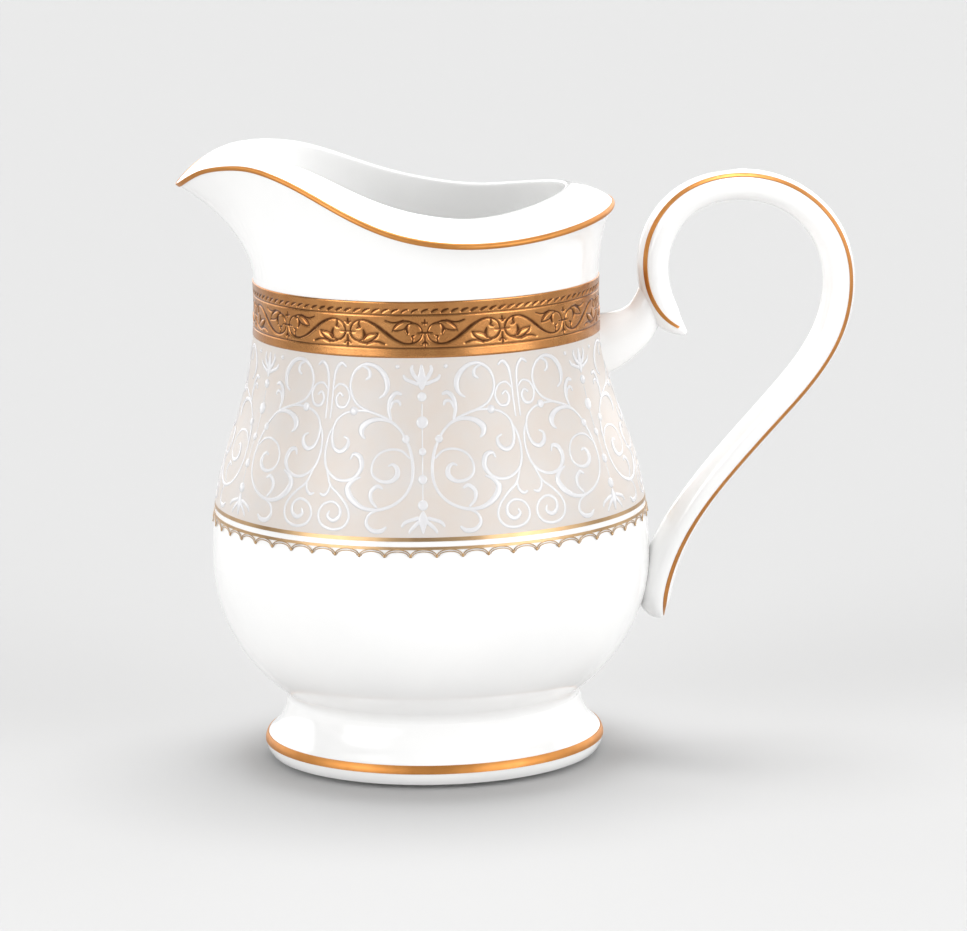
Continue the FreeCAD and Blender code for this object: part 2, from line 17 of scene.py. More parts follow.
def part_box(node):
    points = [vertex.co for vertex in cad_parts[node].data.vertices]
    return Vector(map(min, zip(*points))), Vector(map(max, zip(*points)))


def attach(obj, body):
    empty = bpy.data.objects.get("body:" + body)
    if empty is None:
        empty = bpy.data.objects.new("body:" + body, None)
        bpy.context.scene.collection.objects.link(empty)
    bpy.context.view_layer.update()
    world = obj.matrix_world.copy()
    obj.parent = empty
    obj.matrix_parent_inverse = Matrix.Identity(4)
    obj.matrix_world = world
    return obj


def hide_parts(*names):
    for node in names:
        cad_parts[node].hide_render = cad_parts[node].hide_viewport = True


MM = 0.001
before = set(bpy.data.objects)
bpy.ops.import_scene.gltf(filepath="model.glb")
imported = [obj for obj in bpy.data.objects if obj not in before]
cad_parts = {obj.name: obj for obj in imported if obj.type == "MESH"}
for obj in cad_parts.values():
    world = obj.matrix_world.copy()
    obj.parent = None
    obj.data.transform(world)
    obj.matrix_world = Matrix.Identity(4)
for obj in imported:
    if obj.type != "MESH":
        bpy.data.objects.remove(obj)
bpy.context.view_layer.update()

# ---------------------------------------------------------------- decoration sizes, millimetres

FRONT = -math.pi / 2  # direction of the jug's front, where motifs are counted from
MOTIF_TURN = math.radians(-1.3)  # the front motif sits slightly left of the jug's front

REPEATS = 6  # scroll motifs round the ivory ground
GROUND_RADIUS = 36.5  # mean radius of the ivory ground: arc lengths in the motif are taken there
SCROLL_WEIGHT = 0.8  # share of the drawn stroke widths
SCROLL_HEIGHT = 0.14
SCROLL_FULL_WIDTH = 0.45  # half width at which a scroll reaches its full height
SCROLL_STEP = 0.26  # spacing of the rings along a scroll
LEAST_HEIGHT = 0.35  # share of its full height that the thinnest stroke keeps
BEAD_HEIGHT = 0.22
BEAD_SIDES = 16

WAVES = 7  # S-scroll pairs round the gold band
BAND_RADIUS = 32.5
BAND_MIDDLE = 85.45  # height of the middle line of the frieze
BAND_LINES = (3.15, -2.9)  # heights of the two plain lines above the middle line
BAND_LINE_HALF_WIDTH = 0.17
ROPE_MARKS = 16  # slanted marks per wave in the rope row
BAND_COLUMNS = 200  # grid columns per wave
BAND_ROWS = 70
BACK_ROWS = 16
BACK_DEPTH = 0.21
CUT_DEPTH = 0.17
CUT_STEP = 0.06  # spacing of the stamps along a groove
CUT_SOFTNESS = 0.05  # how far a groove's flanks reach past its drawn width
LEAF_RISE = 0.12
EDGE_DROP = 0.08  # how far the band's edges are rounded down
EDGE_WIDTH = 0.25

ARCHES = 54  # lace arches round the belly
LACE_RADIUS = 40.9
LACE_FOOT = 45.85
LACE_TOP = 47.05
LACE_HEIGHT = 0.1
LACE_FULL_WIDTH = 0.12  # half width at which an arch reaches its full height
LACE_STEP = 0.2
OUTER_ARCH_INSET = 0.05  # of each foot, from the middle of the dot
OUTER_ARCH_HALF_WIDTH = 0.09
INNER_ARCH_INSET = 0.4
INNER_ARCH_DROP = 0.38  # of its top, under the outer arch
INNER_ARCH_HALF_WIDTH = 0.08
DOT_RADIUS = 0.3
DOT_HEIGHT = 0.16

# ------------------------------------------------------------------------------ scroll drawing
# A stroke is a list of (arc length, height, half width) stations joined by a smooth line.

CENTRE_STROKES = [
    [(0, 54.6, 0.15), (0, 60.0, 0.15), (0, 66.0, 0.15), (0, 72.6, 0.15)],
    [(0, 75.0, 0.3), (0, 76.5, 1.15), (0, 78.0, 0.75), (0, 79.6, 0.25)],
    [(0, 53.9, 0.3), (0, 52.3, 1.15), (0, 51.1, 0.7), (0, 49.9, 0.25)],
]
HALF_STROKES = [
    # palmettes at the top and bottom of the main axis
    [(0.4, 76.6, 0.5), (1.4, 77.5, 0.5), (2.0, 78.6, 0.42), (1.8, 79.5, 0.25)],
    [(0.6, 76.0, 0.45), (2.0, 76.5, 0.42), (3.2, 77.0, 0.42), (3.7, 77.8, 0.25)],
    [(0.4, 52.2, 0.5), (1.4, 51.3, 0.45), (2.1, 50.5, 0.35), (2.3, 49.9, 0.22)],
    [(0.6, 52.7, 0.45), (2.0, 52.3, 0.42), (3.1, 51.8, 0.4), (3.6, 51.0, 0.25)],
    # small forked curl beside the upper beads
    [(6.0, 69.6, 0.3), (6.5, 71.5, 0.45), (6.2, 73.4, 0.55), (5.1, 74.5, 0.5), (3.9, 74.2, 0.3)],
    [(6.3, 71.6, 0.25), (5.6, 72.9, 0.32), (4.6, 73.0, 0.38), (4.2, 72.2, 0.25)],
    # large loop at the top
    [(6.0, 69.6, 0.28), (8.3, 70.5, 0.3), (10.9, 71.2, 0.3), (13.6, 71.1, 0.25)],
    [
        (9.8, 70.9, 0.25),
        (13.2, 72.5, 0.32),
        (14.7, 75.4, 0.33),
        (13.9, 78.1, 0.36),
        (11.6, 79.5, 0.42),
        (9.2, 79.1, 0.5),
        (7.5, 77.6, 0.66),
        (6.9, 75.8, 0.62),
        (7.4, 74.3, 0.4),
        (8.6, 73.5, 0.22),
    ],
    [(12.4, 79.3, 0.3), (10.9, 78.6, 0.36), (10.6, 77.4, 0.42), (11.5, 76.7, 0.25)],
    # leaf reaching out from the upper bead
    [
        (3.1, 66.4, 0.3),
        (4.1, 67.9, 0.32),
        (5.8, 69.3, 0.36),
        (8.1, 69.8, 0.45),
        (10.2, 69.4, 0.62),
        (11.6, 68.3, 0.8),
        (11.6, 67.1, 0.55),
        (10.8, 66.3, 0.2),
    ],
    # great C-scroll ending in a leaf
    [
        (3.1, 66.4, 0.3),
        (2.2, 64.4, 0.36),
        (1.75, 61.9, 0.36),
        (1.85, 59.4, 0.34),
        (2.75, 57.1, 0.34),
        (4.5, 55.3, 0.36),
        (6.6, 54.3, 0.38),
        (8.6, 54.0, 0.42),
        (10.7, 54.5, 0.55),
        (12.6, 56.0, 0.78),
        (13.3, 57.7, 0.72),
        (12.4, 59.0, 0.45),
        (11.0, 59.7, 0.2),
    ],
    # ring inside the great C-scroll
    [
        (2.2, 63.0, 0.25),
        (3.7, 64.3, 0.28),
        (5.7, 64.6, 0.28),
        (7.8, 63.9, 0.28),
        (9.0, 62.3, 0.28),
        (9.0, 60.4, 0.3),
        (7.7, 59.2, 0.36),
        (5.9, 59.0, 0.46),
        (4.6, 59.9, 0.62),
        (4.5, 61.2, 0.55),
        (5.3, 62.0, 0.36),
        (6.2, 61.7, 0.22),
    ],
    [(7.8, 54.4, 0.3), (8.9, 55.7, 0.4), (9.0, 57.2, 0.5), (7.9, 58.2, 0.45), (6.9, 57.7, 0.25)],
    [
        (7.4, 54.2, 0.28),
        (9.1, 53.2, 0.32),
        (9.6, 51.6, 0.42),
        (8.6, 50.4, 0.55),
        (7.1, 50.3, 0.55),
        (6.1, 51.1, 0.25),
    ],
    # stem and spiral at the top of the second axis
    [
        (18.6, 69.4, 0.22),
        (18.55, 72.5, 0.26),
        (18.5, 75.8, 0.3),
        (18.1, 78.2, 0.4),
        (16.9, 79.5, 0.42),
        (15.7, 78.8, 0.25),
    ],
    [
        (18.5, 74.6, 0.25),
        (17.2, 75.7, 0.28),
        (15.5, 75.2, 0.3),
        (14.7, 73.5, 0.3),
        (15.5, 71.8, 0.33),
        (17.0, 71.7, 0.38),
        (17.7, 73.0, 0.36),
        (17.0, 74.1, 0.3),
        (16.1, 73.5, 0.3),
    ],
    # small ring under the bead
    [
        (13.6, 71.1, 0.28),
        (15.6, 70.5, 0.3),
        (17.2, 69.1, 0.32),
        (17.7, 66.9, 0.34),
        (17.1, 64.7, 0.42),
        (15.7, 63.9, 0.52),
        (14.4, 64.7, 0.55),
        (14.2, 66.0, 0.36),
        (15.2, 66.6, 0.22),
    ],
    # C-scroll that stands on the bottom rings
    [
        (17.5, 68.4, 0.25),
        (18.4, 66.4, 0.3),
        (18.6, 63.6, 0.32),
        (17.9, 61.0, 0.34),
        (16.2, 59.4, 0.34),
        (14.2, 58.9, 0.36),
        (12.2, 59.6, 0.42),
        (11.1, 61.3, 0.6),
        (11.5, 63.1, 0.62),
        (12.8, 63.6, 0.42),
        (13.4, 62.6, 0.22),
    ],
    [
        (17.7, 60.6, 0.28),
        (16.6, 58.0, 0.32),
        (14.8, 56.4, 0.32),
        (13.2, 54.5, 0.32),
        (12.7, 52.5, 0.32),
        (13.6, 50.8, 0.34),
        (15.6, 50.2, 0.34),
        (17.6, 50.9, 0.34),
        (18.4, 52.6, 0.32),
        (17.7, 54.4, 0.32),
        (15.9, 55.1, 0.32),
        (14.5, 54.2, 0.36),
        (14.4, 52.7, 0.46),
        (15.5, 51.8, 0.52),
        (16.6, 52.5, 0.4),
        (16.3, 53.5, 0.22),
    ],
    [(16.7, 58.2, 0.25), (16.9, 56.9, 0.34), (17.7, 56.1, 0.4), (18.6, 56.4, 0.22)],
]
CENTRE_BEADS = [(0, 73.8, 0.85), (0, 69.3, 1.1), (0, 64.2, 0.7), (0, 59.4, 0.85), (0, 54.9, 0.95)]
HALF_BEADS = [(3.1, 66.4, 0.72), (13.6, 71.1, 0.78), (4.9, 79.2, 0.4)]

# One S-scroll of the gold band: (arc length, height above the middle line, half width). It is
# the same turned by half a turn about its middle.
WAVE_GROOVES = [
    [
        (3.1, 1.35, 0.14),
        (2.1, 1.7, 0.17),
        (1.05, 1.2, 0.17),
        (0.5, 0.1, 0.16),
        (0.85, -1.2, 0.16),
        (2.0, -1.95, 0.18),
        (3.6, -2.05, 0.2),
        (5.1, -1.5, 0.26),
        (6.3, -0.75, 0.34),
        (7.27, 0.0, 0.36),
    ],
    [(2.4, -2.0, 0.14), (2.2, -1.4, 0.18), (2.35, -0.8, 0.26), (1.9, -0.6, 0.15)],
    [(2.3, 1.85, 0.14), (3.6, 2.05, 0.2), (4.8, 1.6, 0.26), (5.6, 0.9, 0.24), (5.95, 0.2, 0.12)],
    [(3.2, 1.2, 0.2), (3.9, 0.55, 0.15), (4.9, 0.3, 0.14), (5.95, 0.2, 0.12)],
    [(3.9, 2.2, 0.14), (5.2, 1.8, 0.17), (6.2, 1.8, 0.16), (7.3, 2.15, 0.12)],
    [(3.05, 1.4, 0.2), (3.35, 0.6, 0.4), (3.1, -0.3, 0.16)],
]
WAVE_LEAF = [(2.8, 1.6, 0.25), (3.9, 1.35, 0.5), (4.9, 0.95, 0.42), (5.7, 0.4, 0.2)]
PIN_GROOVES = [
    [(-0.02, 2.3, 0.14), (0.0, 1.9, 0.22), (0.02, 1.3, 0.14)],
    [(-0.6, 1.75, 0.12), (0.0, 1.6, 0.16), (0.6, 1.75, 0.12)],
    [(-0.02, -0.7, 0.13), (0.0, -1.9, 0.24), (0.02, -2.7, 0.13)],
    [(-0.6, -2.2, 0.12), (0.0, -1.75, 0.16), (0.6, -2.2, 0.12)],
    [(-1.4, -0.1, 0.12), (0.0, -0.1, 0.16), (1.4, -0.1, 0.12)],
]
ROPE_GROOVE = [(-0.6, 3.62, 0.2), (-0.15, 3.95, 0.26), (0.65, 4.22, 0.12)]


def distance_along(line):
    """Distance of each point from the start, measured along the line."""
    steps = np.linalg.norm(np.diff(line[:, :2], axis=0), axis=1)
    return np.concatenate([[0], np.cumsum(steps)])


def sampled(line, along, places):
    """The line's columns at other distances from its start."""
    return np.stack([np.interp(places, along, column) for column in line.T], axis=1)


def smooth_line(stations, spacing):
    """Evenly spaced points on a smooth line through the stations; each column is interpolated."""
    knots = np.array(stations, float)
    before = 2 * knots[0] - knots[1]
    after = 2 * knots[-1] - knots[-2]
    padded = np.vstack([before, knots, after])
    t = np.linspace(0, 1, 24, endpoint=False)[:, None]
    parts = []
    for a, b, c, d in zip(padded, padded[1:], padded[2:], padded[3:]):
        linear = (c - a) * t
        square = (2 * a - 5 * b + 4 * c - d) * t**2
        cube = (3 * b - a - 3 * c + d) * t**3
        parts.append(b + 0.5 * (linear + square + cube))
    fine = np.vstack([*parts, knots[-1:]])
    along = distance_along(fine)
    count = max(4, int(round(along[-1] / spacing)) + 1)
    return sampled(fine, along, np.linspace(0, along[-1], count))


def round_ends(line):
    """The same stroke with its ends rounded off, as a brush leaves them."""
    along = distance_along(line)
    near = np.array([0.0, 0.05, 0.12, 0.22, 0.34])
    places = np.unique(np.concatenate([along[2:-2], near, along[-1] - near]))
    line = sampled(line, along, places)
    reach = np.clip(np.minimum(places, places[-1] - places) / line[:, 2], 0, 1)
    line[:, 2] *= np.sqrt(np.clip(1 - (1 - reach) ** 2, 0.02, 1))
    return line


class Skin:
    """The outer face of a round CAD layer: its radius in millimetres at each height."""

    SAMPLES = 60
    END_MARGIN = 0.02  # share of the height left out at each end
    RAY_START = 0.2  # metres in front of the axis

    def __init__(self, *nodes):
        heights = []
        radii = []
        for node in nodes:
            tree = BVHTree.FromObject(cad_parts[node], bpy.context.evaluated_depsgraph_get())
            low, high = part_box(node)
            margin = self.END_MARGIN * (high.z - low.z)
            for z in np.linspace(low.z + margin, high.z - margin, self.SAMPLES):
                hit = tree.ray_cast(Vector((0, -self.RAY_START, z)), Vector((0, 1, 0)))[0]
                heights.append(z / MM)
                radii.append(-hit.y / MM)
        order = np.argsort(heights)
        self.heights = np.array(heights)[order]
        self.radii = np.array(radii)[order]

    def radius(self, z):
        """Radius at these heights, in millimetres."""
        return np.interp(z, self.heights, self.radii)

    def point(self, angle, z, rise):
        """Points at these angles and heights, standing this far out from the face, in metres."""
        angle, z, rise = np.broadcast_arrays(angle, z, rise)
        reach = self.radius(z) + rise
        return np.stack([reach * np.cos(angle), reach * np.sin(angle), z], axis=-1) * MM


class Solid:
    """Collects closed shapes into one mesh object."""

    def __init__(self, name):
        self.name = name
        self.points = []
        self.faces = []
        self.count = 0

    def add_rings(self, rings):
        """A closed tube through equal rings of points, capped at both ends."""
        rows, sides = rings.shape[:2]
        base = self.count
        self.points.append(rings.reshape(-1, 3))
        self.count += rows * sides
        for i in range(rows - 1):
            for j in range(sides):
                k = (j + 1) % sides
                low = base + i * sides
                high = low + sides
                self.faces.append((low + j, low + k, high + k, high + j))
        self.faces.append(tuple(base + j for j in reversed(range(sides))))
        self.faces.append(tuple(base + (rows - 1) * sides + j for j in range(sides)))

    def build(self, material):
        """The piece made of everything added."""
        mesh = bpy.data.meshes.new(self.name)
        mesh.from_pydata(np.vstack(self.points).tolist(), [], self.faces)
        return finish_piece(mesh, material)


def finish_piece(mesh, material):
    """An object of that mesh on the jug's one body, smooth, with its outside facing out."""
    mesh.validate()
    mesh.polygons.foreach_set("use_smooth", np.ones(len(mesh.polygons), bool))
    mesh.materials.append(material)
    piece = bpy.data.objects.new(mesh.name, mesh)
    bpy.context.scene.collection.objects.link(piece)
    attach(piece, "root")
    return piece


# Section of a raised stroke, across and up, as shares of its half width and height. The last
# two points lie under the surface that the stroke stands on.
STROKE_SECTION = np.array(
    [
        (1.0, 0.0),
        (0.88, 0.48),
        (0.52, 0.86),
        (0.0, 1.0),
        (-0.52, 0.86),
        (-0.88, 0.48),
        (-1.0, 0.0),
        (-0.6, -0.3),
        (0.6, -0.3),
    ]
)


def raised_stroke(solid, skin, line, radius, turn, height, full_width):
    """Adds a rounded ridge along a line of (arc length, height, half width) to the solid."""
    scale = skin.radius(line[:, 1]) / radius
    ahead = np.gradient(line[:, :2], axis=0)
    ahead[:, 0] *= scale
    ahead /= np.linalg.norm(ahead, axis=1)[:, None]
    across = np.stack([-ahead[:, 1], ahead[:, 0]], axis=1)
    side = STROKE_SECTION[:, 0][None, :] * line[:, 2][:, None]
    top = height * np.clip(line[:, 2] / full_width, LEAST_HEIGHT, 1.0)
    rise = STROKE_SECTION[:, 1][None, :] * top[:, None]
    local = skin.radius(line[:, 1])[:, None]
    angle = turn + line[:, 0][:, None] / radius + side * across[:, 0][:, None] / local
    z = line[:, 1][:, None] + side * across[:, 1][:, None]
    solid.add_rings(skin.point(angle, z, rise))


def bead(solid, skin, station, radius, turn, height):
    """Adds a low dome to the solid."""
    s, z, size = station
    lifts = np.array([-0.3, 0.0, 0.42, 0.72, 0.92, 0.99, 1.0]) * height
    spreads = np.array([1.0, 1.0, 0.9, 0.68, 0.38, 0.12, 0.02]) * size
    around = np.linspace(0, 2 * math.pi, BEAD_SIDES, endpoint=False)[None, :]
    local = skin.radius(z)
    angle = turn + s / radius + spreads[:, None] * np.cos(around) / local
    level = z + spreads[:, None] * np.sin(around)
    solid.add_rings(skin.point(angle, level, lifts[:, None]))


def mirrored(stations):
    """The stations on the other side of the motif's main axis."""
    return [(-s, z, w) for s, z, w in stations]


def repeated(count):
    """Directions of the motifs that go round the jug."""
    return [MOTIF_TURN + FRONT + 2 * math.pi * i / count for i in range(count)]


def scrollwork(skin, material):
    """The raised white scrolls on the ivory ground."""
    solid = Solid("ivory_scrollwork")
    strokes = [*CENTRE_STROKES, *HALF_STROKES, *map(mirrored, HALF_STROKES)]
    strokes = [[(s, z, w * SCROLL_WEIGHT) for s, z, w in stroke] for stroke in strokes]
    beads = [*CENTRE_BEADS, *HALF_BEADS, *mirrored(HALF_BEADS)]
    lines = [round_ends(smooth_line(stroke, SCROLL_STEP)) for stroke in strokes]
    for turn in repeated(REPEATS):
        for line in lines:
            raised_stroke(
                solid, skin, line, GROUND_RADIUS, turn, SCROLL_HEIGHT, SCROLL_FULL_WIDTH
            )
        for station in beads:
            bead(solid, skin, station, GROUND_RADIUS, turn, BEAD_HEIGHT)
    solid.build(material)


def arch(half_span, rise, half_width):
    """One lace arch as a smooth stroke, standing on the line of feet."""
    angles = np.linspace(0, math.pi, 13)
    stations = [
        (half_span * math.cos(a), LACE_FOOT + rise * math.sin(a), half_width) for a in angles
    ]
    return smooth_line(stations, LACE_STEP)


def lace(skin, material):
    """The lace border: double arches that meet in dots, under the lower gold line."""
    solid = Solid("lace_border")
    half_pitch = math.pi * LACE_RADIUS / ARCHES
    rise = LACE_TOP - LACE_FOOT
    outer = arch(half_pitch - OUTER_ARCH_INSET, rise, OUTER_ARCH_HALF_WIDTH)
    inner = arch(half_pitch - INNER_ARCH_INSET, rise - INNER_ARCH_DROP, INNER_ARCH_HALF_WIDTH)
    dot = (half_pitch, LACE_FOOT, DOT_RADIUS)
    for turn in repeated(ARCHES):
        for line in (outer, inner):
            raised_stroke(solid, skin, line, LACE_RADIUS, turn, LACE_HEIGHT, LACE_FULL_WIDTH)
        bead(solid, skin, dot, LACE_RADIUS, turn, DOT_HEIGHT)
    piece = solid.build(material)
    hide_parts("scallop_border")


class Relief:
    """Cuts and rises over one wave of the gold band, on a grid of arc length and height."""

    WINDOW_MARGIN = 0.6  # how far past a stroke's middle line its groove can reach

    def __init__(self, low, high):
        self.width = 2 * math.pi * BAND_RADIUS / WAVES
        self.s = np.arange(BAND_COLUMNS) * self.width / BAND_COLUMNS
        self.z = np.linspace(low, high, BAND_ROWS)
        self.cut = np.zeros((BAND_ROWS, BAND_COLUMNS))
        self.rise = np.zeros((BAND_ROWS, BAND_COLUMNS))

    def trace(self, stations, target):
        """Stamps a rounded groove or ridge along the stroke, wherever it crosses this wave."""
        line = smooth_line(stations, CUT_STEP)
        for shift in (-self.width, 0, self.width):
            s = line[:, 0] + shift
            z = line[:, 1] + BAND_MIDDLE
            near_s = self.near(self.s, s)
            near_z = self.near(self.z, z)
            if not len(near_s) or not len(near_z):
                continue
            window = np.ix_(near_z, near_s)
            away_s = self.s[near_s][None, :, None] - s
            away_z = self.z[near_z][:, None, None] - z
            share = (np.hypot(away_s, away_z) / (line[:, 2] + CUT_SOFTNESS)).min(axis=2)
            shape = np.clip(1 - share**2, 0, 1)
            target[window] = np.maximum(target[window], shape)

    def near(self, grid, stroke):
        """Indexes of the grid lines that lie close to the stroke."""
        low = stroke.min() - self.WINDOW_MARGIN
        high = stroke.max() + self.WINDOW_MARGIN
        return np.flatnonzero((grid > low) & (grid < high))

    def ring(self, height):
        """A plain groove all the way round."""
        share = np.abs(self.z - BAND_MIDDLE - height) / BAND_LINE_HALF_WIDTH
        self.cut = np.maximum(self.cut, np.clip(1 - share**2, 0, 1)[:, None])


def turned(stations, middle):
    """The stations after half a turn about a point of the middle line."""
    return [(2 * middle - s, -z, w) for s, z, w in stations]


def flipped(stations, middle):
    """The stations mirrored left to right about an upright line."""
    return [(2 * middle - s, z, w) for s, z, w in stations]


def shifted(stations, step):
    """The stations moved along the band."""
    return [(s + step, z, w) for s, z, w in stations]


def band_relief(low, high):
    """Frieze, pins, rope and lines of the gold band, drawn over one wave."""
    relief = Relief(low, high)
    half = relief.width / 2
    leaves = [WAVE_LEAF, turned(WAVE_LEAF, half / 2)]
    grooves = [*WAVE_GROOVES, *(turned(g, half / 2) for g in WAVE_GROOVES)]
    for stroke in grooves:
        relief.trace(stroke, relief.cut)
        relief.trace(flipped(stroke, half), relief.cut)
    for stroke in leaves:
        relief.trace(stroke, relief.rise)
        relief.trace(flipped(stroke, half), relief.rise)
    for pin in PIN_GROOVES:
        relief.trace(pin, relief.cut)
        relief.trace(shifted(pin, half), relief.cut)
    for i in range(ROPE_MARKS):
        relief.trace(shifted(ROPE_GROOVE, relief.width * i / ROPE_MARKS), relief.cut)
    for height in BAND_LINES:
        relief.ring(height)
    return relief


def closed_ring(name, grid):
    """A mesh over rows of points that go round the jug, the last row joined to the first."""
    rows, columns = grid.shape[:2]
    index = np.arange(rows * columns).reshape(rows, columns)
    following = np.roll(index, -1, axis=1)
    above = np.roll(index, -1, axis=0)
    quads = np.stack([index, following, np.roll(following, -1, axis=0), above], axis=-1)
    mesh = bpy.data.meshes.new(name)
    mesh.from_pydata(grid.reshape(-1, 3).tolist(), [], quads.reshape(-1, 4).tolist())
    return mesh


def gold_band(material):
    """The etched band as one closed ring with its relief cut in."""
    node = "etched_gold_band"
    skin = Skin(node)
    low, high = (corner.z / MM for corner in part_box(node))
    relief = band_relief(low, high)
    level = LEAF_RISE * relief.rise * (1 - relief.cut) - CUT_DEPTH * relief.cut
    level = np.tile(level, WAVES)
    cut = np.tile(relief.cut, WAVES)
    columns = level.shape[1]
    angle = FRONT + np.arange(columns) * 2 * math.pi / columns
    edge = np.minimum(relief.z - low, high - relief.z)
    level = level - EDGE_DROP * np.clip(1 - edge / EDGE_WIDTH, 0, 1)[:, None] ** 2
    face = skin.point(angle[None, :], relief.z[:, None], level)
    back_z = np.linspace(high, low, BACK_ROWS)[:, None]
    back = skin.point(angle[None, :], back_z, -BACK_DEPTH)
    mesh = closed_ring("gold_frieze", np.concatenate([face, back]))
    # cut share of each point, which the etched gold material uses to paint shade into the cuts
    cut_shade_mask = mesh.attributes.new("cut_shade_mask", "FLOAT", "POINT")
    blank = np.zeros((BACK_ROWS, columns))
    cut_shade_mask.data.foreach_set("value", np.concatenate([cut, blank]).ravel())
    piece = finish_piece(mesh, material)
    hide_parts(node)


# ----------------------------------------------------------------------------------- materials


class Shader:
    """A material with a Principled shader and short ways to add nodes."""

    def __init__(self, name, **values):
        self.material = bpy.data.materials.new(name)
        self.material.use_nodes = True
        self.nodes = self.material.node_tree.nodes
        self.links = self.material.node_tree.links
        self.surface = self.nodes["Principled BSDF"]
        for socket, value in values.items():
            self.surface.inputs[socket.replace("_", " ")].default_value = value
        self.place = self.nodes.new("ShaderNodeTexCoord").outputs["Object"]

    def noise(self, scale, detail=3.0, roughness=0.5):
        """Soft noise over the object, the scale in cycles per metre."""
        node = self.nodes.new("ShaderNodeTexNoise")
        node.inputs["Scale"].default_value = scale
        node.inputs["Detail"].default_value = detail
        node.inputs["Roughness"].default_value = roughness
        self.links.new(self.place, node.inputs["Vector"])
        return node.outputs["Fac"]

    def ramp(self, source, *stops):
        """A colour ramp; each stop is (position, colour)."""
        node = self.nodes.new("ShaderNodeValToRGB")
        elements = node.color_ramp.elements
        while len(elements) < len(stops):
            elements.new(0.5)
        for element, (position, colour) in zip(elements, stops):
            element.position = position
            element.color = (*colour, 1)
        self.links.new(source, node.inputs["Fac"])
        return node.outputs["Color"]

    def mix(self, factor, first, second):
        """A colour between the two."""
        node = self.nodes.new("ShaderNodeMix")
        node.data_type = "RGBA"
        first_colour, second_colour, mixed = node.inputs[6], node.inputs[7], node.outputs[2]
        self.links.new(factor, node.inputs["Factor"])
        self.links.new(first, first_colour)
        self.links.new(second, second_colour)
        return mixed

    def span(self, source, low, high):
        """The source's 0..1 stretched to low..high."""
        node = self.nodes.new("ShaderNodeMapRange")
        node.inputs["To Min"].default_value = low
        node.inputs["To Max"].default_value = high
        self.links.new(source, node.inputs["Value"])
        return node.outputs["Result"]

    def along_y(self, start, end):
        """0 at the start and 1 at the end, along the object's own Y."""
        split = self.nodes.new("ShaderNodeSeparateXYZ")
        self.links.new(self.place, split.inputs["Vector"])
        node = self.nodes.new("ShaderNodeMapRange")
        node.interpolation_type = "SMOOTHSTEP"
        node.inputs["From Min"].default_value = start
        node.inputs["From Max"].default_value = end
        self.links.new(split.outputs["Y"], node.inputs["Value"])
        return node.outputs["Result"]

    def attribute(self, name):
        """A number that the mesh carries at each point."""
        node = self.nodes.new("ShaderNodeAttribute")
        node.attribute_name = name
        return node.outputs["Fac"]

    def bump(self, source, distance, strength):
        """Fine unevenness of the surface, the distance in metres."""
        node = self.nodes.new("ShaderNodeBump")
        node.inputs["Distance"].default_value = distance
        node.inputs["Strength"].default_value = strength
        self.links.new(source, node.inputs["Height"])
        self.links.new(node.outputs["Normal"], self.surface.inputs["Normal"])

    def feed(self, socket, source):
        """Links a source to a socket of the Principled shader."""
        self.links.new(source, self.surface.inputs[socket])


def porcelain():
    """Hard white glaze with a faint waviness and a faint drift of warmth."""
    shader = Shader("glazed_porcelain", IOR=1.52, Coat_Weight=0.5, Coat_Roughness=0.03)
    white = shader.ramp(
        shader.noise(55), (0.3, (0.865, 0.866, 0.862)), (0.7, (0.895, 0.893, 0.885))
    )
    shader.feed("Base Color", white)
    shader.feed("Roughness", shader.span(shader.noise(220), 0.1, 0.17))
    shader.bump(shader.noise(110, 2), 0.0003, 0.12)
    return shader.material


def ivory_enamel():
    """Satin ivory ground, softly clouded."""
    shader = Shader("ivory_enamel", IOR=1.5, Coat_Weight=0.1, Coat_Roughness=0.3)
    tone = shader.ramp(
        shader.noise(160, 4, 0.6),
        (0.3, (0.605, 0.54, 0.49)),
        (0.5, (0.6, 0.55, 0.51)),
        (0.72, (0.585, 0.555, 0.535)),
    )
    shader.feed("Base Color", tone)
    shader.feed("Roughness", shader.span(shader.noise(900), 0.36, 0.5))
    shader.bump(shader.noise(1400, 2), 0.00004, 0.25)
    return shader.material


def white_enamel():
    """The thick white enamel of the scrolls."""
    shader = Shader("white_enamel", IOR=1.52, Coat_Weight=0.4, Coat_Roughness=0.06)
    tone = shader.ramp(shader.noise(300), (0.3, (0.64, 0.635, 0.65)), (0.7, (0.685, 0.68, 0.695)))
    shader.feed("Base Color", tone)
    shader.feed("Roughness", shader.span(shader.noise(700), 0.14, 0.24))
    shader.bump(shader.noise(1100, 2), 0.00003, 0.2)
    return shader.material


def gold(name, dark, light, rough_low, rough_high, grain):
    """Fired gold: two close tones, uneven burnishing and a fine grain."""
    shader = Shader(name, Metallic=1.0)
    shader.feed("Base Color", shader.ramp(shader.noise(240, 4), (0.3, dark), (0.7, light)))
    shader.feed("Roughness", shader.span(shader.noise(520, 4), rough_low, rough_high))
    shader.bump(shader.noise(2600, 3), 0.00003, grain)
    return shader.material


